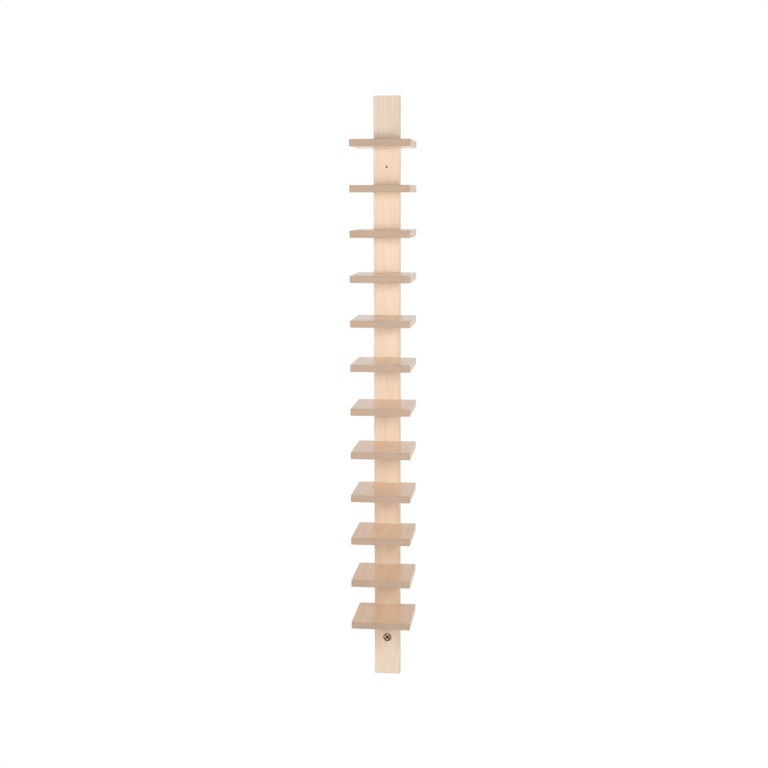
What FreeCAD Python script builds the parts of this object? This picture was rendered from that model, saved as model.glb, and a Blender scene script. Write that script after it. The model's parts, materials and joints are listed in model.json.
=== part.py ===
import FreeCAD, Part
import os
import Sketcher

# A wall-hung spine bookshelf: one tall board, with plain shelves let into its face.
# Millimetres. The origin is the middle of the upper wall hole, on the plane of the wall.
# +X is to the right of someone who faces the shelf, +Y goes into the wall and +Z is up.

SIZES = {
    # the upright board, the spine
    "spine_width": 84,
    "spine_thickness": 30,
    "spine_arris": 1.5,  # radius of its eased edges
    "top_margin": 142,  # from the spine's top down to the first shelf
    "foot_margin": 218,  # from the last shelf down to the spine's foot
    # the shelves and the housings that hold them
    "shelf_count": 12,
    "shelf_pitch": 138,
    "shelf_width": 187,
    "shelf_reach": 193,  # how far a shelf stands out in front of the spine
    "shelf_thickness": 22,
    "shelf_arris": 1.2,
    "housing_depth": 12,
    "housing_play": 0.2,  # room above a shelf in its housing
    # the countersunk screws that hold each shelf from behind
    "shelf_screw_length": 60,
    "shelf_screw_thread": 5,
    "shelf_screw_thread_length": 36,  # the tip included
    "shelf_screw_shank": 3.6,
    "shelf_screw_head": 9.6,
    "shelf_screw_tip": 6,
    "shelf_screw_sink": 0.5,  # how deep the head lies below the wall plane
    "shelf_screw_play": 0.1,
    "shelf_recess_span": 5.2,
    "shelf_recess_arm": 1.3,
    "shelf_recess_depth": 2.4,
    "screw_spread_share": 0.57,  # of the spine's width, between the two screws of a shelf
    # the two wall fixings: an open hole above, and below a screw sunk in a dished washer
    "wall_hole": 7,
    "lower_fixing_drop": 92,  # from the last shelf down to the screw
    "wall_screw_thread": 8,
    "wall_screw_shank": 6,
    "wall_screw_grip": 50,  # how far it goes into the wall, the tip included
    "wall_screw_tip": 8,
    "wall_screw_play": 0.3,
    "wall_screw_head": 21.6,
    "wall_screw_head_height": 3.4,
    "wall_screw_head_round": 1,
    "wall_recess_span": 19,
    "wall_recess_arm": 4.4,
    "wall_recess_depth": 2.2,
    "washer_seat_depth": 6,  # of the round seat in the spine's face that the washer lies in
    "washer_seat_play": 0.2,
    "washer_floor": 1.2,
    "washer_rim_gap": 1,  # between the screw's head and the washer's rim
    "washer_rim_width": 1.6,
    "washer_height": 7,
    "washer_rim_round": 0.7,
    # how far a cut runs past the face that it opens
    "cut_overrun": 5,
}

# the cross of the wall screw stands as an X, a little turned
WALL_SCREW_TURN_DEG = 50

# places along the spine, in the terms of the sheet
FIRST_UNDERSIDE = "((size.shelf_pitch - size.shelf_thickness) / 2)"
LAST_UNDERSIDE = f"({FIRST_UNDERSIDE} - (size.shelf_count - 1) * size.shelf_pitch)"
SPINE_TOP = f"({FIRST_UNDERSIDE} + size.shelf_thickness + size.top_margin)"
SPINE_FOOT = f"({LAST_UNDERSIDE} - size.foot_margin)"
LOWER_FIXING = f"({LAST_UNDERSIDE} - size.lower_fixing_drop)"
HALF_SPINE = "(size.spine_width / 2)"
HALF_SHELF = "(size.shelf_width / 2)"
MID_SHELF = "(size.shelf_thickness / 2)"

# depths from the wall plane, and the places and bores of the screws
HOUSING_FLOOR = "(size.spine_thickness - size.housing_depth)"
SHELF_SCREW_SIDE = "(size.screw_spread_share * size.spine_width / 2)"
SHELF_SCREW_END = "(size.shelf_screw_sink + size.shelf_screw_length)"
SHELF_SCREW_BORE = "(size.shelf_screw_thread / 2 + size.shelf_screw_play)"
SHELF_HEAD_BORE = "(size.shelf_screw_head / 2 + size.shelf_screw_play)"
WALL_SCREW_BORE = "(size.wall_screw_thread / 2 + size.wall_screw_play)"
WASHER_BACK = "(size.spine_thickness - size.washer_seat_depth)"
WASHER_FLOOR = f"({WASHER_BACK} + size.washer_floor)"
DISH_RADIUS = "(size.wall_screw_head / 2 + size.washer_rim_gap)"
WASHER_RADIUS = f"({DISH_RADIUS} + size.washer_rim_width)"


def make_sheet(doc):
    """The driving dimensions, one to a row, each cell's alias being the size's name."""
    sheet = doc.addObject("Spreadsheet::Sheet", "size")
    for row, (name, value) in enumerate(SIZES.items(), start=1):
        sheet.set(f"A{row}", name)
        sheet.set(f"B{row}", str(value))
        sheet.setAlias(f"B{row}", name)
    doc.recompute()
    return sheet


def new_body(doc, label, y="0", z="0", turn_deg=0):
    """An empty sub-part, set at a depth and a height, and turned about its own Y axis."""
    body = doc.addObject("PartDesign::Body", label)
    body.Label = label
    body.AllowCompound = True
    turn = FreeCAD.Rotation(FreeCAD.Vector(0, 1, 0), turn_deg)
    body.Placement = FreeCAD.Placement(FreeCAD.Vector(0, 0, 0), turn)
    body.setExpression("Placement.Base.y", y)
    body.setExpression("Placement.Base.z", z)
    return body


def origin_feature(body, role):
    return next(item for item in body.Origin.OriginFeatures if item.Role == role)


def new_sketch(body, name, plane, **shifts):
    """A sketch on one of the body's own planes, shifted from it by expressions."""
    sketch = body.newObject("Sketcher::SketchObject", name)
    sketch.AttachmentSupport = [(origin_feature(body, plane), "")]
    sketch.MapMode = "FlatFace"
    for axis, expression in shifts.items():
        sketch.setExpression(f"AttachmentOffset.Base.{axis}", expression)
    return sketch


def tie(sketch, *ties):
    """Add constraints, each given as its kind, where it acts and the expression it follows."""
    made = [Sketcher.Constraint(kind, *place, sketch.evalExpression(text)) for kind, place, text in ties]
    for index, (kind, place, text) in zip(sketch.addConstraint(made), ties):
        sketch.setExpression(f"Constraints[{index}]", text)


def tie_point(sketch, point, x, y):
    """Tie a point, given as its line and end, to two expressions measured from the sketch's origin."""
    root = (-1, 1)
    tie(sketch, ("DistanceX", root + point, x), ("DistanceY", root + point, y))


def outline(sketch, corners):
    """A closed outline with straight sides, each corner given as two expressions."""
    spots = [FreeCAD.Vector(*map(sketch.evalExpression, corner), 0) for corner in corners]
    lines = [Part.LineSegment(start, end) for start, end in zip(spots, spots[1:] + spots[:1])]
    sides = sketch.addGeometry(lines, False)
    following = sides[1:] + sides[:1]
    joins = [Sketcher.Constraint("Coincident", side, 2, after, 1) for side, after in zip(sides, following)]
    sketch.addConstraint(joins)
    for side, corner in zip(sides, corners):
        tie_point(sketch, (side, 1), *corner)


def rectangle(sketch, left, right, low, high):
    outline(sketch, [(left, low), (right, low), (right, high), (left, high)])


def circle(sketch, x, y, radius):
    """A circle with its centre and radius given as expressions."""
    middle = FreeCAD.Vector(sketch.evalExpression(x), sketch.evalExpression(y), 0)
    normal = FreeCAD.Vector(0, 0, 1)
    ring = sketch.addGeometry(Part.Circle(middle, normal, sketch.evalExpression(radius)), False)
    tie_point(sketch, (ring, 3), x, y)
    tie(sketch, ("Radius", (ring,), radius))


def cross(sketch, x, span, arm):
    """A cross of two equal bars about a point on the sketch's X axis."""
    far, near = f"({span} / 2)", f"({arm} / 2)"
    right_and_top = [
        (far, f"-{near}"), (far, near), (near, near),
        (near, far), (f"-{near}", far), (f"-{near}", near),
    ]
    left_and_bottom = [(f"-{across}", f"-{along}") for across, along in right_and_top]
    outline(sketch, [(f"{x} + {across}", along) for across, along in right_and_top + left_and_bottom])


def pad(body, name, sketch, length):
    feature = body.newObject("PartDesign::Pad", name)
    feature.Profile = sketch
    feature.setExpression("Length", length)
    return feature


def pocket(body, name, sketch, length=None, towards_front=False):
    """A pocket of a given depth, or right through the board."""
    feature = body.newObject("PartDesign::Pocket", name)
    feature.Profile = sketch
    feature.Reversed = towards_front
    if length:
        feature.setExpression("Length", length)
    else:
        feature.Type = "ThroughAll"
    return feature


def turn(body, kind, name, sketch):
    """A turned solid or a turned groove, about the sketch's own vertical axis."""
    feature = body.newObject(f"PartDesign::{kind}", name)
    feature.Profile = sketch
    feature.ReferenceAxis = (sketch, ["V_Axis"])
    return feature


def ease(body, name, base, radius, edges=None):
    """Round all the edges of a feature, or those that are named."""
    fillet = body.newObject("PartDesign::Fillet", name)
    fillet.Base = (base, edges or [""])
    fillet.UseAllEdges = edges is None
    fillet.setExpression("Radius", radius)
    return fillet


def ring_edges(feature, radius, depth):
    """The names of the round edges of a turned solid that have this radius at this depth."""
    feature.Document.recompute()
    sheet = feature.Document.size
    wanted, place = sheet.evalExpression(radius), sheet.evalExpression(depth)
    names = []
    for number, edge in enumerate(feature.Shape.Edges, start=1):
        curve = edge.Curve
        if isinstance(curve, Part.Circle) and abs(curve.Radius - wanted) < Part.Precision.confusion():
            if abs(curve.Center.y - place) < Part.Precision.confusion():
                names.append(f"Edge{number}")
    return names


def screw_sides():
    """The two screws of a shelf, as the ends of their names and their places across the spine."""
    return ("left", f"-{SHELF_SCREW_SIDE}"), ("right", SHELF_SCREW_SIDE)


def shelf_underside(number):
    return f"({FIRST_UNDERSIDE} - {number} * size.shelf_pitch)"


def make_spine(doc):
    """The board, with a housing and two screw holes for each shelf, two wall holes and a washer's seat."""
    body = new_body(doc, "spine_board")
    face = new_sketch(body, "spine_face", "XZ_Plane")
    rectangle(face, f"-{HALF_SPINE}", HALF_SPINE, SPINE_FOOT, SPINE_TOP)
    board = pad(body, "spine_blank", face, "size.spine_thickness")
    ease(body, "spine_eased", board, "size.spine_arris")

    mouth = new_sketch(body, "housing_mouth", "XZ_Plane", z="size.spine_thickness")
    side = f"{HALF_SPINE} + size.cut_overrun"
    height = f"{FIRST_UNDERSIDE} + size.shelf_thickness + size.housing_play"
    rectangle(mouth, f"-({side})", side, FIRST_UNDERSIDE, height)
    repeated = [pocket(body, "housing", mouth, "size.housing_depth")]
    for name, place in screw_sides():
        repeated.append(cut_screw_hole(body, name, place))

    pattern = body.newObject("PartDesign::LinearPattern", "all_housings")
    pattern.Originals = repeated
    pattern.Direction = (origin_feature(body, "Z_Axis"), [""])
    pattern.Reversed = True
    pattern.setExpression("Length", "(size.shelf_count - 1) * size.shelf_pitch")
    pattern.setExpression("Occurrences", "size.shelf_count")
    body.Tip = pattern

    fixings = new_sketch(body, "wall_fixings", "XZ_Plane")
    circle(fixings, "0", "0", "size.wall_hole / 2")
    circle(fixings, "0", LOWER_FIXING, WALL_SCREW_BORE)
    pocket(body, "wall_holes", fixings, towards_front=True)
    seat = new_sketch(body, "washer_seat_mouth", "XZ_Plane", z="size.spine_thickness")
    circle(seat, "0", LOWER_FIXING, f"{WASHER_RADIUS} + size.washer_seat_play")
    pocket(body, "washer_seat", seat, "size.washer_seat_depth")
    return body


def cut_screw_hole(body, name, place):
    """A countersunk hole from the wall plane through to the first housing."""
    height = f"{FIRST_UNDERSIDE} + {MID_SHELF}"
    section = new_sketch(body, f"hole_section_{name}", "XY_Plane", x=place, z=height)
    sink = "size.shelf_screw_sink"
    outline(section, [
        ("0", "size.cut_overrun"),
        (SHELF_HEAD_BORE, "size.cut_overrun"),
        (SHELF_HEAD_BORE, f"-{sink}"),
        (SHELF_SCREW_BORE, f"-({sink} + {SHELF_HEAD_BORE} - {SHELF_SCREW_BORE})"),
        (SHELF_SCREW_BORE, f"-({HOUSING_FLOOR} + size.housing_depth / 2)"),
        ("0", f"-({HOUSING_FLOOR} + size.housing_depth / 2)"),
    ])
    return turn(body, "Groove", f"screw_hole_{name}", section)


def make_shelf(doc, number):
    """One shelf, with its back edge on the floor of its housing and drilled for two screws."""
    label = f"shelf_{number + 1:02d}"
    body = new_body(doc, label, y=f"-{HOUSING_FLOOR}", z=shelf_underside(number))
    plan = new_sketch(body, f"{label}_plan", "XY_Plane")
    rectangle(plan, f"-{HALF_SHELF}", HALF_SHELF, "-(size.shelf_reach + size.housing_depth)", "0")
    board = pad(body, f"{label}_blank", plan, "size.shelf_thickness")
    ease(body, f"{label}_eased", board, "size.shelf_arris")
    end = f"{SHELF_SCREW_END} + size.shelf_screw_play - {HOUSING_FLOOR}"
    for name, place in screw_sides():
        section = new_sketch(body, f"{label}_pilot_{name}", "XY_Plane", x=place, z=MID_SHELF)
        outline(section, [
            ("0", "size.cut_overrun"),
            (SHELF_SCREW_BORE, "size.cut_overrun"),
            (SHELF_SCREW_BORE, f"-({end} - size.shelf_screw_tip)"),
            ("0", f"-({end})"),
        ])
        turn(body, "Groove", f"{label}_drilled_{name}", section)
    return body


def make_shelf_screws(doc, number):
    """The two countersunk screws that hold one shelf, with their heads at the wall plane."""
    label = f"shelf_screws_{number + 1:02d}"
    body = new_body(doc, label, z=f"{shelf_underside(number)} + {MID_SHELF}")
    sink, end = "size.shelf_screw_sink", SHELF_SCREW_END
    head, shank, thread = (f"(size.shelf_screw_{part} / 2)" for part in ("head", "shank", "thread"))
    for name, place in screw_sides():
        section = new_sketch(body, f"{label}_section_{name}", "XY_Plane", x=place)
        outline(section, [
            ("0", f"-{sink}"),
            (head, f"-{sink}"),
            (shank, f"-({sink} + {head} - {shank})"),
            (shank, f"-({end} - size.shelf_screw_thread_length)"),
            (thread, f"-({end} - size.shelf_screw_thread_length)"),
            (thread, f"-({end} - size.shelf_screw_tip)"),
            ("0", f"-{end}"),
        ])
        turn(body, "Revolution", f"{label}_{name}", section)
    recesses = new_sketch(body, f"{label}_crosses", "XZ_Plane", z=sink)
    for name, place in screw_sides():
        cross(recesses, place, "size.shelf_recess_span", "size.shelf_recess_arm")
    pocket(body, f"{label}_recesses", recesses, "size.shelf_recess_depth", towards_front=True)
    return body


def make_wall_screw(doc):
    """The pan-headed wall screw, whose thread starts at the wall plane."""
    body = new_body(doc, "wall_screw", z=LOWER_FIXING, turn_deg=WALL_SCREW_TURN_DEG)
    section = new_sketch(body, "wall_screw_section", "XY_Plane")
    head, shank, thread = (f"(size.wall_screw_{part} / 2)" for part in ("head", "shank", "thread"))
    crown = f"-({WASHER_FLOOR} + size.wall_screw_head_height)"
    outline(section, [
        ("0", crown),
        (head, crown),
        (head, f"-{WASHER_FLOOR}"),
        (shank, f"-{WASHER_FLOOR}"),
        (shank, "0"),
        (thread, "0"),
        (thread, "size.wall_screw_grip - size.wall_screw_tip"),
        ("0", "size.wall_screw_grip"),
    ])
    blank = turn(body, "Revolution", "wall_screw_blank", section)
    ease(body, "wall_screw_crown", blank, "size.wall_screw_head_round", ring_edges(blank, head, crown))
    recess = new_sketch(body, "wall_screw_cross", "XZ_Plane", z=f"-({crown})")
    cross(recess, "0", "size.wall_recess_span", "size.wall_recess_arm")
    pocket(body, "wall_screw_recess", recess, "size.wall_recess_depth")
    return body


def make_washer(doc):
    """The dished washer round the wall screw's head, whose rim stands just out of its seat."""
    body = new_body(doc, "dished_washer", z=LOWER_FIXING)
    section = new_sketch(body, "washer_section", "XY_Plane")
    rim_top = f"-({WASHER_BACK} + size.washer_height)"
    outline(section, [
        (WALL_SCREW_BORE, f"-{WASHER_BACK}"),
        (WASHER_RADIUS, f"-{WASHER_BACK}"),
        (WASHER_RADIUS, rim_top),
        (DISH_RADIUS, rim_top),
        (DISH_RADIUS, f"-{WASHER_FLOOR}"),
        (WALL_SCREW_BORE, f"-{WASHER_FLOOR}"),
    ])
    blank = turn(body, "Revolution", "washer_blank", section)
    rim_edges = ring_edges(blank, WASHER_RADIUS, rim_top) + ring_edges(blank, DISH_RADIUS, rim_top)
    ease(body, "washer_rim", blank, "size.washer_rim_round", rim_edges)
    return body


def check(doc, bodies):
    """Stop before anything is written if a feature failed, a cut missed or a shape isn't valid."""
    for item in doc.Objects:
        if {"Invalid", "Error"} & set(item.State):
            raise RuntimeError(f"{item.Label} failed: {item.State}")
        if item.TypeId in ("PartDesign::Pocket", "PartDesign::Groove"):
            if not item.Shape.Volume < item.BaseFeature.Shape.Volume:
                raise RuntimeError(f"{item.Label} removes nothing")
    for body in bodies:
        if body.Shape.isNull() or not body.Shape.isValid():
            raise RuntimeError(f"{body.Label} has no valid shape")


def main():
    doc = FreeCAD.newDocument("spine_bookshelf")
    sheet = make_sheet(doc)
    bodies = [make_spine(doc)]
    for number in range(int(sheet.shelf_count)):
        bodies.append(make_shelf(doc, number))
        bodies.append(make_shelf_screws(doc, number))
    bodies += [make_wall_screw(doc), make_washer(doc)]
    doc.recompute()
    check(doc, bodies)
    os.makedirs("parts", exist_ok=True)
    for body in bodies:
        body.Shape.exportStep(f"parts/{body.Label}.step")
        print(body.Label, len(body.Shape.Solids), "solids", round(body.Shape.Volume), "mm3")


main()
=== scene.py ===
import json
from math import ceil, cos, pi, radians, sin

import bmesh
import bpy
from mathutils import Matrix, Vector


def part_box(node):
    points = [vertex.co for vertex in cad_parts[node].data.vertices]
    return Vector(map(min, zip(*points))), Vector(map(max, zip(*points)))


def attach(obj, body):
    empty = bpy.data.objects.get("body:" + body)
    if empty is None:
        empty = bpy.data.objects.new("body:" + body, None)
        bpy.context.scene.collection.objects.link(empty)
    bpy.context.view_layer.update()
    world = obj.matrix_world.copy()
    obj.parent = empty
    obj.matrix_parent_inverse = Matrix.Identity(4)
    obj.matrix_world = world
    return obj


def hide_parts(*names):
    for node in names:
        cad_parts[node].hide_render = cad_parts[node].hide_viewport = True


# A wall-hung spine bookshelf in pale lacquered pine, with its screws and washer.
# Metres. +X is to the right of someone who faces it, +Y goes into the wall and +Z is up.

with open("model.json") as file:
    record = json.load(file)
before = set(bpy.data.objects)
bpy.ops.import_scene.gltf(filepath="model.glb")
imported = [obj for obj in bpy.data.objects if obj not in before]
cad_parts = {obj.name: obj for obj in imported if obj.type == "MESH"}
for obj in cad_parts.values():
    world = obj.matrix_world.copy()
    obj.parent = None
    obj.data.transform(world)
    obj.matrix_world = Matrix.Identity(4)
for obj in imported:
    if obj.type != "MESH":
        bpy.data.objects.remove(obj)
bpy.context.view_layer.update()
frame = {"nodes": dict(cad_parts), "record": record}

# Places read from the frame
SPINE_LOW, SPINE_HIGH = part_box("spine_board")
SHELVES = sorted(name for name in frame["nodes"] if name.startswith("shelf_") and "screws" not in name)
SHELF_LOW, SHELF_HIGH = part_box(SHELVES[0])
SHELF_PITCH = SHELF_LOW.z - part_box(SHELVES[1])[0].z
FIRST_SHELF_MIDDLE = (SHELF_LOW.z + SHELF_HIGH.z) / 2
WALL_SCREW_LOW, WALL_SCREW_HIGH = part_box("wall_screw")
WASHER_LOW, WASHER_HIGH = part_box("dished_washer")
MOUNTS = {mount["name"]: mount for mount in frame["record"]["mounts"]}
WALL_HOLE_RADIUS = MOUNTS["upper_wall_hole"]["dims"]["r_mm"] / 1000

# The camera's place, how far it is turned, and its lens on the usual 36 mm sensor
CAMERA_PLACE = (0.461643, -4.198864, -0.089464)
CAMERA_YAW_DEG = 6.452
CAMERA_PITCH_DEG = 8.231
CAMERA_ROLL_DEG = -0.089
CAMERA_LENS_MM = 61.10

# The wall screw: a wide flat head with a large cross, a little turned
WALL_HEAD_HEIGHT = 0.0034
WALL_HEAD_ROUND = 0.001
WALL_SHANK_RADIUS = 0.003
WALL_THREAD_ROOT = 0.0029
WALL_THREAD_RADIUS = 0.004
WALL_THREAD_PITCH = 0.0032
WALL_TIP = 0.008
WALL_CROSS_SPAN = 0.019
WALL_CROSS_ARM = 0.0044
WALL_CROSS_DEPTH = 0.0022
WALL_CROSS_TURN_DEG = 50

# The dished washer round its head
WASHER_BORE = 0.0043
WASHER_FLOOR = 0.0012
WASHER_RIM_WIDTH = 0.0016

# The countersunk shelf screws
SHELF_SCREW_HEAD_RADIUS = 0.0048
SHELF_SCREW_HEAD_RIM = 0.0003
SHELF_SCREW_SHANK_RADIUS = 0.0018
SHELF_SCREW_THREAD_ROOT = 0.0016
SHELF_SCREW_THREAD_RADIUS = 0.0025
SHELF_SCREW_THREAD_START = 0.024
SHELF_SCREW_PITCH = 0.0025
SHELF_SCREW_TIP = 0.006
SHELF_CROSS_SPAN = 0.0052
SHELF_CROSS_ARM = 0.0013
SHELF_CROSS_DEPTH = 0.0024

# A thread's ridge, in shares of its pitch: where it leaves the root, and where its crest starts and ends
RIDGE_FOOT_SHARE = 0.35
CREST_START_SHARE = 0.62
CREST_END_SHARE = 0.73

# A screw's width at the end of its tip, as a share of its full width
BLUNT_TIP_SHARE = 0.02

# A cross recess's size at its far end, as a share of its size at the cutter's mouth
CROSS_TAPER_SHARE = 0.55

# How finely round pieces are divided
TURN_STEPS = 64
THREAD_STEPS = 28
ROUND_STEPS = 6
SMOOTH_BELOW_DEG = 32
WELD = 0.000002


def linear(hex_colour):
    """A colour written as on screen, as the linear numbers that a shader takes."""
    parts = [int(hex_colour[place:place + 2], 16) / 255 for place in (1, 3, 5)]
    return [part / 12.92 if part <= 0.04045 else ((part + 0.055) / 1.055) ** 2.4 for part in parts] + [1]


# What a noise or a random draw from nought to one has in its middle, and the detail of a fine noise
NOISE_MIDDLE = 0.5
FINE_DETAIL = 3.0


class Socket:
    """One output of a finish's nodes. Sums on it add Math nodes."""

    def __init__(self, finish, output):
        self.finish = finish
        self.output = output

    def math(self, operation, first, second=0.0):
        return self.finish.node("ShaderNodeMath", {"operation": operation}, {0: first, 1: second})

    def __add__(self, other):
        return self.math("ADD", self, other)

    def __sub__(self, other):
        return self.math("SUBTRACT", self, other)

    def __rsub__(self, other):
        return self.math("SUBTRACT", other, self)

    def __mul__(self, other):
        return self.math("MULTIPLY", self, other)

    def __truediv__(self, other):
        return self.math("DIVIDE", self, other)

    def __rtruediv__(self, other):
        return self.math("DIVIDE", other, self)

    def __abs__(self):
        return self.math("ABSOLUTE", self)

    def floor(self):
        return self.math("FLOOR", self)

    def nearest(self):
        """The nearest whole number."""
        return (self + 0.5).floor()

    def fraction(self):
        return self.math("FRACT", self)

    def root(self):
        return self.math("SQRT", self)

    def least(self, other):
        return self.math("MINIMUM", self, other)

    def most(self, other):
        return self.math("MAXIMUM", self, other)

    __radd__ = __add__
    __rmul__ = __mul__


class Finish:
    """A material, or the world, with the nodes that give it its look."""

    def __init__(self, owner):
        owner.use_nodes = True
        self.owner = owner
        self.tree = owner.node_tree

    def node(self, kind, settings=None, inputs=None, output=0):
        """Add a node: first its settings, then the values or links of its sockets."""
        made = self.tree.nodes.new(kind)
        for name, value in (settings or {}).items():
            if name == "stops":
                self.set_stops(made.color_ramp, value)
            else:
                setattr(made, name, value)
        self.feed(made, inputs or {})
        return Socket(self, made.outputs[output])

    def feed(self, made, inputs):
        for name, value in inputs.items():
            if isinstance(value, Socket):
                self.tree.links.new(value.output, made.inputs[name])
            else:
                made.inputs[name].default_value = value

    @staticmethod
    def set_stops(ramp, stops):
        for number, (place, level) in enumerate(stops):
            stop = ramp.elements[number] if number < 2 else ramp.elements.new(place)
            stop.position = place
            stop.color = (level, level, level, 1)

    def surface(self, **inputs):
        """Set the main shader's sockets, a word's underscores standing for spaces."""
        shader = self.tree.nodes["Principled BSDF"]
        self.feed(shader, {name.replace("_", " "): value for name, value in inputs.items()})

    def place(self):
        """The three coordinates of the frame."""
        return self.split(self.node("ShaderNodeTexCoord", output="Object"))

    def split(self, vector):
        parts = self.node("ShaderNodeSeparateXYZ", {}, {0: vector}).output.node
        return [Socket(self, output) for output in parts.outputs]

    def join(self, x, y, z):
        return self.node("ShaderNodeCombineXYZ", {}, {0: x, 1: y, 2: z})

    def noise(self, vector, detail=2.0):
        return self.node("ShaderNodeTexNoise", {}, {"Vector": vector, "Scale": 1.0, "Detail": detail})

    def random(self, seed):
        return self.node("ShaderNodeTexWhiteNoise", {"noise_dimensions": "1D"}, {"W": seed})

    def rise(self, value, low, high):
        """Nought below the low value, one above the high one and smooth between them."""
        ends = {"Value": value, "From Min": low, "From Max": high}
        return self.node("ShaderNodeMapRange", {"interpolation_type": "SMOOTHSTEP"}, ends)

    def ramp(self, value, stops):
        return self.node("ShaderNodeValToRGB", {"stops": stops}, {0: value})

    def mix(self, share, first, second):
        """Two colours mixed by a share from nought to one."""
        return self.node("ShaderNodeMix", {"data_type": "RGBA"}, {0: share, 6: first, 7: second}, output=2)

    def bump(self, height, distance, strength):
        sockets = {"Height": height, "Distance": distance, "Strength": strength}
        return self.node("ShaderNodeBump", {}, sockets)


def new_finish(name):
    return Finish(bpy.data.materials.new(name))


# Pine. A year's growth, from its pale early wood to its darker late wood.
YEAR = ((0.0, 0.10), (0.16, 0.0), (0.55, 0.12), (0.86, 0.80), (0.95, 1.0), (1.0, 0.25))
FAINTEST_YEAR_SHARE = 0.55

# How often the wood changes in a metre, across the grain and along it, and the noise's detail
DRIFT = (7.0, 1.3, 2.0)
RIPPLE = (38.0, 9.0, 2.0)
FIBRE = (900.0, 14.0, 3.0)
STREAK = (95.0, 1.8, 2.0)
CLOUD = (14.0, 2.2, 1.0)
FLECK = (1500.0, 75.0, 1.0)
FLECK_RANGE = (0.64, 0.78)

# How far the rings stray from round, and how uneven the years are
DRIFT_ACROSS = 0.012
DRIFT_DEEP = 0.009
RIPPLE_HEIGHT = 0.0012
UNEVEN_OFTEN = 55.0
UNEVEN_YEARS = 1.6

# Pale, warm, brown and dark wood, then pale and dark end grain
SPINE_WOOD = ("#EDDBC8", "#E9D4BF", "#DDC2A7", "#B9967B", "#D8C0A9", "#B29479")
SHELF_WOOD = ("#F2D5B8", "#ECCBAB", "#DDB590", "#B58C6D", "#BDA592", "#A08771")

# How much each feature of the wood shows on a face and on an end, how strongly painted shade darkens an
# arris, and how far in from it that shade reaches
STREAK_SHARE = 0.6
WARM_RANGE = (0.36, 0.66)
LATE_SHARE = 0.36
FIBRE_SHARE = 0.32
FLECK_SHARE = 0.20
END_LATE_SHARE = 0.55
END_FIBRE_SHARE = 1.1
END_CLOUD_SHARE = 0.3
ARRIS_SHADE_SHARE = 0.18
ARRIS_SHADE_RANGE = (0.0004, 0.0055)

# The part of a normal along an axis at which a surface begins to face that axis, and faces it fully
FACING_RANGE = (0.45, 0.85)

# The lacquer, and the relief that the wood gives it
LACQUER_IOR = 1.55
SPINE_ROUGH = 0.27
SHELF_FACE_ROUGH = 0.18
SHELF_SIDE_ROUGH = 0.28
END_ROUGH = 0.41
FIBRE_ROUGH = 0.06
FIBRE_RELIEF = 0.5
LATE_RELIEF = 0.35
FLECK_RELIEF = 0.6
RELIEF_HEIGHT = 0.00010
RELIEF_STRENGTH = 0.12

# Where the boards lie in the log: the pith across and behind, its lean along the board, and a year's width
SPINE_PITH = (0.008, 0.062)
SPINE_LEAN = (0.004, 0.016)
SPINE_YEAR = 0.0034
SHELF_PITH_SPREAD = 0.11
SHELF_PITH_DEPTH = 0.045
SHELF_PITH_DEPTH_SPREAD = 0.07
SHELF_LEAN_SPREADS = (0.06, 0.12)
SHELF_YEAR = 0.0031
SHELF_LOG_STEP = 2.7

# What is added to a shelf's number to draw its pith's place and lean
PITH_SEEDS = (0.3, 0.7)
LEAN_SEEDS = (0.1, 0.9)


def pine(finish, along, across, depth, pith, lean, year_width, start):
    """The rings, fibres, streaks and flecks of a board that is cut from a start along its log."""
    grown = along + start

    def drawn_out(feature):
        """Noise that is drawn out along the grain."""
        often_across, often_along, detail = feature
        spot = finish.join(across * often_across, depth * often_across, grown * often_along)
        return finish.noise(spot, detail)

    drift = drawn_out(DRIFT) - NOISE_MIDDLE
    ripple = drawn_out(RIPPLE) - NOISE_MIDDLE
    side = across - pith[0] + along * lean[0] + drift * DRIFT_ACROSS
    rear = depth - pith[1] + along * lean[1] + drift * DRIFT_DEEP
    radius = (side * side + rear * rear).root() + ripple * RIPPLE_HEIGHT
    uneven = finish.noise(finish.join(radius * UNEVEN_OFTEN, start, 0.0)) - NOISE_MIDDLE
    years = radius / year_width + uneven * UNEVEN_YEARS
    strength = FAINTEST_YEAR_SHARE + finish.random(years.floor() + start) * (1 - FAINTEST_YEAR_SHARE)
    late = finish.ramp(years.fraction(), YEAR) * strength
    fibre, streak, cloud, fleck = (drawn_out(feature) for feature in (FIBRE, STREAK, CLOUD, FLECK))
    return late, fibre, streak, cloud, finish.rise(fleck, *FLECK_RANGE)


def arris_shade_mask(finish, place, low, high):
    """One on the arrises of a box and nought a little way in from them: where shade is painted along the
    arrises.
    """
    gaps = [(here - a).least(b - here) for here, a, b in zip(place, low, high)]
    first, second, third = gaps
    middle = first.least(second).most(first.most(second).least(third))
    return 1.0 - finish.rise(middle, *ARRIS_SHADE_RANGE)


def facing(finish, part):
    """One where a part of the normal lies along its axis, either way, and nought across it."""
    return finish.rise(abs(part), *FACING_RANGE)


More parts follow.
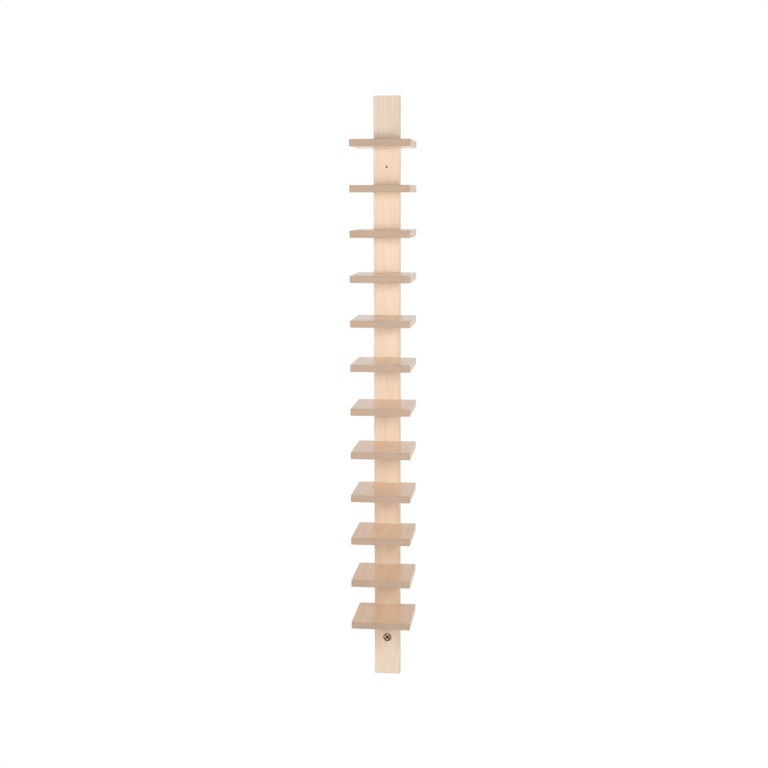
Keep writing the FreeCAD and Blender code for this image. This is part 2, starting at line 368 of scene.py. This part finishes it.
def lacquered_pine(finish, grain, rough, end, edge, colours):
    """Pine under a clear satin lacquer, darker where the grain ends, with painted shade along its arrises.
    """
    late, fibre, streak, cloud, fleck = grain
    pale, warm, brown, dark, end_pale, end_dark = (linear(colour) for colour in colours)
    tone = streak * STREAK_SHARE + cloud * (1 - STREAK_SHARE)
    face = finish.mix(finish.rise(tone, *WARM_RANGE), pale, warm)
    face = finish.mix(late * LATE_SHARE + (fibre - NOISE_MIDDLE) * FIBRE_SHARE, face, brown)
    face = finish.mix(fleck * FLECK_SHARE, face, dark)
    rings = late * END_LATE_SHARE + (fibre - NOISE_MIDDLE) * END_FIBRE_SHARE + cloud * END_CLOUD_SHARE
    wood = finish.mix(end, face, finish.mix(rings, end_pale, end_dark))
    # Painted shade: the wood darkens towards each arris.
    wood = finish.mix(edge * ARRIS_SHADE_SHARE, wood, dark)
    relief = fibre * FIBRE_RELIEF + late * LATE_RELIEF - fleck * FLECK_RELIEF
    finish.surface(
        Base_Color=wood,
        Roughness=rough + fibre * FIBRE_ROUGH,
        Normal=finish.bump(relief, RELIEF_HEIGHT, RELIEF_STRENGTH),
        IOR=LACQUER_IOR,
    )
    return finish.owner


def spine_pine():
    """The spine's grain runs up it, and its rings close behind it."""
    finish = new_finish("lacquered_pine_spine")
    place = finish.place()
    x, y, z = place
    normal = finish.split(finish.node("ShaderNodeNewGeometry", output="Normal"))
    grain = pine(finish, z, x, y, SPINE_PITH, SPINE_LEAN, SPINE_YEAR, start=0.0)
    end = facing(finish, normal[2])
    edge = arris_shade_mask(finish, place, SPINE_LOW, SPINE_HIGH)
    rough = SPINE_ROUGH + end * (END_ROUGH - SPINE_ROUGH)
    return lacquered_pine(finish, grain, rough, end, edge, SPINE_WOOD)


def shelf_pine():
    """A shelf's grain runs from back to front. Each shelf is cut from its own place in the log.

    Its faces are polished, its sides are duller and its ends are dull.
    """
    finish = new_finish("lacquered_pine_shelf")
    x, y, z = finish.place()
    number = ((FIRST_SHELF_MIDDLE - z) / SHELF_PITCH).nearest()
    height = z - FIRST_SHELF_MIDDLE + number * SHELF_PITCH
    normal = finish.split(finish.node("ShaderNodeNewGeometry", output="Normal"))
    aside, behind = (finish.random(number + seed) for seed in PITH_SEEDS)
    pith = ((aside - NOISE_MIDDLE) * SHELF_PITH_SPREAD, SHELF_PITH_DEPTH + behind * SHELF_PITH_DEPTH_SPREAD)
    tilts = [finish.random(number + seed) - NOISE_MIDDLE for seed in LEAN_SEEDS]
    lean = [tilt * spread for tilt, spread in zip(tilts, SHELF_LEAN_SPREADS)]
    grain = pine(finish, y, x, height, pith, lean, SHELF_YEAR, start=number * SHELF_LOG_STEP)
    side, end = (facing(finish, part) for part in normal[:2])
    half = (SHELF_HIGH.z - SHELF_LOW.z) / 2
    low, high = (SHELF_LOW.x, SHELF_LOW.y, -half), (SHELF_HIGH.x, SHELF_HIGH.y, half)
    edge = arris_shade_mask(finish, (x, y, height), low, high)
    duller = side * (SHELF_SIDE_ROUGH - SHELF_FACE_ROUGH) + end * (END_ROUGH - SHELF_FACE_ROUGH)
    return lacquered_pine(finish, grain, SHELF_FACE_ROUGH + duller, end, edge, SHELF_WOOD)


# Plated steel: how often its bloom and its scratches change in a metre, and how much they show
BLOOM_OFTEN = 260.0
SCRATCHES_OFTEN = (2600.0, 700.0, 900.0)
BLOOM_RANGE = (0.35, 0.70)
BLOOM_ROUGH = 0.18
SCRATCH_ROUGH = 0.10
SCRATCH_HEIGHT = 0.00002
SCRATCH_STRENGTH = 0.25

# The rubbings in a driven cross
RUBBING_OFTEN = 900.0
RUBBING_ROUGH = 0.60
RUBBING_ROUGH_SPREAD = 0.25
RUBBING_SHINE = 0.12


def plated(name, pale, dark, rough):
    """Plated steel: tumbled bright, with a faint bloom and fine scratches."""
    finish = new_finish(name)
    place = finish.place()
    bloom = finish.noise(finish.join(*(part * BLOOM_OFTEN for part in place)), FINE_DETAIL)
    scratch = finish.noise(finish.join(*(part * often for part, often in zip(place, SCRATCHES_OFTEN))))
    uneven = (bloom - NOISE_MIDDLE) * BLOOM_ROUGH + (scratch - NOISE_MIDDLE) * SCRATCH_ROUGH
    finish.surface(
        Base_Color=finish.mix(finish.rise(bloom, *BLOOM_RANGE), linear(pale), linear(dark)),
        Metallic=1.0,
        Roughness=rough + uneven,
        Normal=finish.bump(scratch, SCRATCH_HEIGHT, SCRATCH_STRENGTH),
    )
    return finish.owner


def recess_painted_shade():
    """The bottom of a driven cross, coloured dark brown as painted shade, and dull with the driver's
    rubbings.
    """
    finish = new_finish("painted_shade_recess")
    rub = finish.noise(finish.join(*(part * RUBBING_OFTEN for part in finish.place())), FINE_DETAIL)
    # Painted shade: the recess takes a near-black colour in place of its shade.
    finish.surface(
        Base_Color=finish.mix(rub, linear("#261206"), linear("#361C0B")),
        Roughness=RUBBING_ROUGH + rub * RUBBING_ROUGH_SPREAD,
        Specular_IOR_Level=RUBBING_SHINE,
    )
    return finish.owner


def arc(middle, radius, start_deg, end_deg):
    """Points of a round, as distances from a turned piece's axis and along it."""
    angles = [start_deg + (end_deg - start_deg) * step / ROUND_STEPS for step in range(ROUND_STEPS + 1)]
    return [(middle[0] + radius * cos(radians(a)), middle[1] + radius * sin(radians(a))) for a in angles]


def turn(mesh, profile):
    """Spin an outline, given as distances from the Y axis and along it, into a turned skin."""
    corners = [mesh.verts.new((across, along, 0)) for across, along in profile]
    edges = [mesh.edges.new(pair) for pair in zip(corners, corners[1:])]
    bmesh.ops.spin(
        mesh, geom=corners + edges, cent=(0, 0, 0), axis=(0, 1, 0), dvec=(0, 0, 0),
        angle=2 * pi, steps=TURN_STEPS, use_merge=True,
    )
    bmesh.ops.remove_doubles(mesh, verts=mesh.verts, dist=WELD)


def open_edges(mesh):
    return [edge for edge in mesh.edges if edge.is_boundary]


def add_thread(mesh, root, crest, pitch, start, end, tip):
    """Join a tapering screw thread to the open end of a turned shank."""
    shank_end = open_edges(mesh)
    before = set(mesh.verts)
    turns = ceil((end - start) / pitch) + 2
    ridge = [
        (root, 0.0), (root, pitch * RIDGE_FOOT_SHARE),
        (crest, pitch * CREST_START_SHARE), (crest, pitch * CREST_END_SHARE), (root, pitch),
    ]
    corners = [mesh.verts.new((across, start - pitch + along, 0)) for across, along in ridge]
    edges = [mesh.edges.new(pair) for pair in zip(corners, corners[1:])]
    bmesh.ops.spin(
        mesh, geom=corners + edges, cent=(0, 0, 0), axis=(0, 1, 0), dvec=(0, pitch / THREAD_STEPS, 0),
        angle=2 * pi * turns, steps=THREAD_STEPS * turns,
    )
    thread = [vert for vert in mesh.verts if vert not in before]
    bmesh.ops.remove_doubles(mesh, verts=thread, dist=WELD)
    for place, outward in ((start, -1), (end, 1)):
        thread = [vert for vert in mesh.verts if vert not in before]
        geom = set(thread)
        for vert in thread:
            geom.update(vert.link_edges)
            geom.update(vert.link_faces)
        bmesh.ops.bisect_plane(
            mesh, geom=list(geom), dist=WELD,
            plane_co=(0, place, 0), plane_no=(0, outward, 0), clear_outer=True,
        )
    for vert in mesh.verts:
        if vert not in before and vert.co.y > end - tip:
            share = max((end - vert.co.y) / tip, BLUNT_TIP_SHARE)
            vert.co.x *= share
            vert.co.z *= share
    thread_start = [edge for edge in open_edges(mesh) if abs(edge.verts[0].co.y - start) < WELD]
    bmesh.ops.bridge_loops(mesh, edges=shank_end + [edge for edge in thread_start if edge not in shank_end])
    bmesh.ops.holes_fill(mesh, edges=open_edges(mesh))


def cross_cutter(span, arm, depth):
    """A cross that narrows as it goes in, to cut a recess. Its sizes are those on the face."""
    widen = 2 / (1 + CROSS_TAPER_SHARE)
    far, near = widen * span / 2, widen * arm / 2
    quarter = [(far, -near), (far, near), (near, near)]
    mesh = bmesh.new()
    corners = []
    for turns in range(4):
        spin = Matrix.Rotation(-pi / 2 * turns, 3, "Y")
        corners += [mesh.verts.new(spin @ Vector((across, -depth, up))) for across, up in quarter]
    mouth = mesh.faces.new(corners)
    pushed = bmesh.ops.extrude_face_region(mesh, geom=[mouth], use_keep_orig=True)["geom"]
    floor = [item for item in pushed if isinstance(item, bmesh.types.BMVert)]
    bmesh.ops.translate(mesh, verts=floor, vec=(0, 2 * depth, 0))
    shrink = Matrix.Diagonal((CROSS_TAPER_SHARE, 1, CROSS_TAPER_SHARE))
    bmesh.ops.transform(mesh, verts=floor, matrix=shrink.to_4x4())
    bmesh.ops.recalc_face_normals(mesh, faces=mesh.faces)
    for face in mesh.faces:
        face.material_index = 1
    return mesh


def new_piece(name, mesh, *finishes):
    """A piece made of a bmesh, with its round faces smooth."""
    bmesh.ops.recalc_face_normals(mesh, faces=mesh.faces)
    data = bpy.data.meshes.new(name)
    mesh.to_mesh(data)
    mesh.free()
    for finish in finishes:
        data.materials.append(finish)
    data.shade_smooth()
    data.set_sharp_from_angle(angle=radians(SMOOTH_BELOW_DEG))
    piece = bpy.data.objects.new(name, data)
    bpy.context.scene.collection.objects.link(piece)
    return piece


def cut_recess(name, mesh, cutter, *finishes):
    """Cut the recess out of a screw and return the screw as plain mesh data."""
    blank = new_piece(f"{name}_blank", mesh, *finishes)
    tool = new_piece(f"{name}_tool", cutter, *finishes)
    cut = blank.modifiers.new("recess", "BOOLEAN")
    cut.operation = "DIFFERENCE"
    cut.solver = "EXACT"
    cut.object = tool
    ready = blank.evaluated_get(bpy.context.evaluated_depsgraph_get())
    data = bpy.data.meshes.new_from_object(ready)
    for spare in (blank, tool):
        bpy.data.objects.remove(spare)
    return data


def placed(data, matrices):
    """One bmesh that holds a copy of some mesh data at each place."""
    mesh = bmesh.new()
    for matrix in matrices:
        before = set(mesh.verts)
        mesh.from_mesh(data)
        bmesh.ops.transform(mesh, matrix=matrix, verts=[vert for vert in mesh.verts if vert not in before])
    return mesh


def fit(piece, node):
    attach(piece, "root")
    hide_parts(node)


def make_wall_screw(plate, recess_shade):
    """The screw below the last shelf, whose thread goes on into the wall."""
    head = (WALL_SCREW_HIGH.x - WALL_SCREW_LOW.x) / 2
    length = WALL_SCREW_HIGH.y - WALL_SCREW_LOW.y
    wall = -WALL_SCREW_LOW.y
    shoulder = (head - WALL_HEAD_ROUND, WALL_HEAD_ROUND)
    profile = [(0, 0)] + arc(shoulder, WALL_HEAD_ROUND, -90, 0)
    profile += [(head, WALL_HEAD_HEIGHT), (WALL_SHANK_RADIUS, WALL_HEAD_HEIGHT), (WALL_SHANK_RADIUS, wall)]
    mesh = bmesh.new()
    turn(mesh, profile)
    add_thread(mesh, WALL_THREAD_ROOT, WALL_THREAD_RADIUS, WALL_THREAD_PITCH, wall, length, WALL_TIP)
    cutter = cross_cutter(WALL_CROSS_SPAN, WALL_CROSS_ARM, WALL_CROSS_DEPTH)
    data = cut_recess("wall_screw", mesh, cutter, plate, recess_shade)
    height = (WALL_SCREW_LOW.z + WALL_SCREW_HIGH.z) / 2
    turned = Matrix.Rotation(radians(WALL_CROSS_TURN_DEG), 4, "Y")
    place = Matrix.Translation((0, WALL_SCREW_LOW.y, height)) @ turned
    screw = new_piece("wall_screw_cross_head", placed(data, [place]), plate, recess_shade)
    fit(screw, "wall_screw")


def make_washer(steel):
    """The dished washer: a flat floor with a rolled rim round it."""
    radius = (WASHER_HIGH.x - WASHER_LOW.x) / 2
    back, front = WASHER_HIGH.y, WASHER_LOW.y
    roll = WASHER_RIM_WIDTH / 2
    profile = [(WASHER_BORE, back), (radius, back)]
    profile += arc((radius - roll, front + roll), roll, 0, -180)
    profile += [(radius - WASHER_RIM_WIDTH, back - WASHER_FLOOR), (WASHER_BORE, back - WASHER_FLOOR)]
    mesh = bmesh.new()
    turn(mesh, profile + profile[:1])
    height = (WASHER_LOW.z + WASHER_HIGH.z) / 2
    bmesh.ops.translate(mesh, verts=mesh.verts, vec=(0, 0, height))
    washer = new_piece("dished_washer_rolled", mesh, steel)
    fit(washer, "dished_washer")


def make_shelf_screws(plate, recess_shade):
    """Two countersunk screws behind each shelf, all alike."""
    low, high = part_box("shelf_screws_01")
    length = high.y - low.y
    head, shank = SHELF_SCREW_HEAD_RADIUS, SHELF_SCREW_SHANK_RADIUS
    rim = SHELF_SCREW_HEAD_RIM
    cone_end = rim + head - shank
    mesh = bmesh.new()
    turn(mesh, [(0, 0), (head, 0), (head, rim), (shank, cone_end), (shank, SHELF_SCREW_THREAD_START)])
    add_thread(
        mesh, SHELF_SCREW_THREAD_ROOT, SHELF_SCREW_THREAD_RADIUS, SHELF_SCREW_PITCH,
        SHELF_SCREW_THREAD_START, length, SHELF_SCREW_TIP,
    )
    cutter = cross_cutter(SHELF_CROSS_SPAN, SHELF_CROSS_ARM, SHELF_CROSS_DEPTH)
    data = cut_recess("shelf_screw", mesh, cutter, plate, recess_shade)
    to_front = Matrix.Rotation(pi, 4, "Z")
    for shelf in SHELVES:
        node = shelf.replace("shelf", "shelf_screws")
        low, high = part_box(node)
        height = (low.z + high.z) / 2
        sides = [low.x + head, high.x - head]
        places = [Matrix.Translation((side, high.y, height)) @ to_front for side in sides]
        pair = new_piece(shelf.replace("shelf", "countersunk_pair"), placed(data, places), plate, recess_shade)
        fit(pair, node)


def paint_boards():
    """The boards keep their CAD shapes and take their finish."""
    spine, shelf = spine_pine(), shelf_pine()
    for name in ["spine_board"] + SHELVES:
        for slot in frame["nodes"][name].material_slots:
            slot.material = spine if name == "spine_board" else shelf


# The stage: a pale floor below, soft lamps and a white surrounding
FLOOR_DROP = 0.35
FLOOR_REACH = 14.0
FLOOR_PATCH_MIDDLE = (0.0, -0.75)
FLOOR_PATCH_RADIUS = 0.70
FLOOR_PATCH_CORE_SHARE = 0.4
FLOOR_WHITE_SHARE = 0.55
FLOOR_SPECKLES_OFTEN = 9.0
WALL_PATCH_OVERLAP = 0.0001
WALL_PATCH_SINK = 0.0006
WALL_SPECKLES_OFTEN = 900.0
STAGE_ROUGH = 0.8


def seen_white(finish, shine=1.0):
    """One for rays that see the white straight, and the shine's share for those that see it in a shine."""
    rays = finish.node("ShaderNodeLightPath").output.node
    kinds = ("Is Camera Ray", "Is Glossy Ray", "Is Transmission Ray")
    camera, glossy, through = (Socket(finish, rays.outputs[kind]) for kind in kinds)
    return camera.most(glossy.most(through) * shine)


def show_from_front(finish, shaded):
    """Make the stage's surface what is given from the front, and clear from the rear."""
    clear = finish.node("ShaderNodeBsdfTransparent")
    rear = finish.node("ShaderNodeNewGeometry", output="Backfacing")
    both = finish.node("ShaderNodeMixShader", {}, {0: rear, 1: shaded, 2: clear})
    finish.feed(finish.tree.nodes["Material Output"], {"Surface": both})


def make_floor():
    """A pale floor. Close to the shelf it shows its shade, further off it runs into the white."""
    mesh = bmesh.new()
    bmesh.ops.create_grid(mesh, x_segments=1, y_segments=1, size=FLOOR_REACH)
    bmesh.ops.translate(mesh, verts=mesh.verts, vec=(0, 0, SPINE_LOW.z - FLOOR_DROP))
    finish = new_finish("pale_floor")
    x, y, z = finish.place()
    side, depth = x - FLOOR_PATCH_MIDDLE[0], y - FLOOR_PATCH_MIDDLE[1]
    away = (side * side + depth * depth).root()
    far = finish.rise(away, FLOOR_PATCH_RADIUS * FLOOR_PATCH_CORE_SHARE, FLOOR_PATCH_RADIUS)
    speckle = finish.noise(finish.join(x * FLOOR_SPECKLES_OFTEN, y * FLOOR_SPECKLES_OFTEN, z), FINE_DETAIL)
    pale = finish.mix(speckle, linear("#EFEDEA"), linear("#F6F5F3"))
    finish.surface(Base_Color=pale, Roughness=STAGE_ROUGH)
    shaded = Socket(finish, finish.tree.nodes["Principled BSDF"].outputs[0])
    white = finish.node("ShaderNodeEmission", {}, {"Color": (1, 1, 1, 1), "Strength": 1.0})
    lifted = (FLOOR_WHITE_SHARE + far * (1 - FLOOR_WHITE_SHARE)) * seen_white(finish)
    show_from_front(finish, finish.node("ShaderNodeMixShader", {}, {0: lifted, 1: shaded, 2: white}))
    floor = new_piece("floor", mesh, finish.owner)


def make_wall_patch():
    """The bit of wall that shows at the end of the open hole, coloured brown-grey as painted shade. It
    shows from the front only.
    """
    mesh = bmesh.new()
    radius = WALL_HOLE_RADIUS + WALL_PATCH_OVERLAP
    bmesh.ops.create_circle(mesh, cap_ends=True, segments=TURN_STEPS, radius=radius)
    bmesh.ops.rotate(mesh, verts=mesh.verts, cent=(0, 0, 0), matrix=Matrix.Rotation(pi / 2, 3, "X"))
    bmesh.ops.translate(mesh, verts=mesh.verts, vec=(0, SPINE_HIGH.y - WALL_PATCH_SINK, 0))
    finish = new_finish("wall_patch")
    x, y, z = finish.place()
    speckle = finish.noise(finish.join(x * WALL_SPECKLES_OFTEN, y, z * WALL_SPECKLES_OFTEN), FINE_DETAIL)
    # Painted shade: the white wall is coloured brown-grey for the shade at the end of the hole.
    wall_painted_shade = finish.mix(speckle, linear("#9A8068"), linear("#A68C74"))
    finish.surface(Base_Color=wall_painted_shade, Roughness=STAGE_ROUGH)
    show_from_front(finish, Socket(finish, finish.tree.nodes["Principled BSDF"].outputs[0]))
    patch = new_piece("wall_patch", mesh, finish.owner)


# How strongly the surrounding lights the object from the room's side and from the wall's
ROOM_LIGHT = 0.14
WALL_LIGHT = 0.58

# Parts of a ray's direction: towards the wall, where the light changes, and up, where the shine fades
WALL_SIDE_RANGE = (-0.15, 0.35)
SHINE_FADE_RANGE = (0.2, 0.3)

# What the lamps are turned to, and each one's name, place, width, watts and colour
LAMP_TARGET = (0.0, -0.1, -0.6)
LAMPS = (
    ("left_lamp", (-1.4, -2.2, -0.2), 0.8, 24.9, "#FCFFFF"),
    ("right_lamp", (1.5, -2.3, -0.1), 0.8, 32.0, "#FCFFFF"),
    ("front_lamp", (0.3, -2.2, 0.0), 0.5, 6.0, "#FFFFFF"),
    ("low_lamp", (0.3, -2.5, -1.5), 0.9, 7.5, "#FFE2C4"),
    ("top_lamp", (0.0, 0.35, 2.4), 0.8, 14.0, "#FFFFFF"),
    ("rear_lamp", (0.0, 2.7, -1.4), 1.2, 14.0, "#FFFFFF"),
)


def make_surrounding():
    """White to the eye. It lights more from the wall's side, and its shine fades overhead, as in a room."""
    world = bpy.data.worlds.new("white_studio")
    bpy.context.scene.world = world
    finish = Finish(world)
    depth, height = finish.split(finish.node("ShaderNodeTexCoord", output="Generated"))[1:]
    light = ROOM_LIGHT + finish.rise(depth, *WALL_SIDE_RANGE) * (WALL_LIGHT - ROOM_LIGHT)
    shine = 1.0 - finish.rise(height, *SHINE_FADE_RANGE)
    strength = light + seen_white(finish, shine) * (1 - light)
    finish.feed(finish.tree.nodes["Background"], {"Color": (1, 1, 1, 1), "Strength": strength})


def add_lamp(name, place, width, watts, colour):
    """A soft square lamp turned to the shelf. It makes no glare: shines show the white surrounding."""
    light = bpy.data.lights.new(name, "AREA")
    light.shape = "SQUARE"
    light.size = width
    light.energy = watts
    light.color = linear(colour)[:3]
    lamp = bpy.data.objects.new(name, light)
    lamp.location = place
    lamp.rotation_mode = "QUATERNION"
    lamp.rotation_quaternion = (Vector(LAMP_TARGET) - Vector(place)).to_track_quat("-Z", "Y")
    lamp.visible_glossy = False
    bpy.context.scene.collection.objects.link(lamp)


def light_stage():
    """A lamp on each side of the front, weak ones before it and low down, and one each above and behind."""
    for lamp in LAMPS:
        add_lamp(*lamp)


def add_camera():
    """The camera, from the photograph's side."""
    data = bpy.data.cameras.new("camera")
    data.lens = CAMERA_LENS_MM
    camera = bpy.data.objects.new("camera", data)
    yaw = Matrix.Rotation(radians(CAMERA_YAW_DEG), 4, "Z")
    pitch = Matrix.Rotation(radians(90 - CAMERA_PITCH_DEG), 4, "X")
    roll = Matrix.Rotation(radians(CAMERA_ROLL_DEG), 4, "Z")
    camera.matrix_world = Matrix.Translation(CAMERA_PLACE) @ yaw @ pitch @ roll
    bpy.context.scene.collection.objects.link(camera)
    bpy.context.scene.camera = camera


def main():
    bpy.context.scene.view_settings.view_transform = "Standard"
    paint_boards()
    # The dark colour in the driven crosses is painted shade.
    recess_shade = recess_painted_shade()
    make_wall_screw(plated("satin_bronze", "#E4C5A6", "#CBA786", 0.30), recess_shade)
    # The washer's dark brown is partly browned steel and partly painted shade, darkened for the dark ring
    # round the head.
    make_washer(plated("browned_steel_and_painted_shade", "#8A5426", "#5E3616", 0.40))
    make_shelf_screws(plated("yellow_zinc", "#D9C28A", "#B59A63", 0.34), recess_shade)
    make_floor()
    make_wall_patch()
    make_surrounding()
    light_stage()
    add_camera()


main()
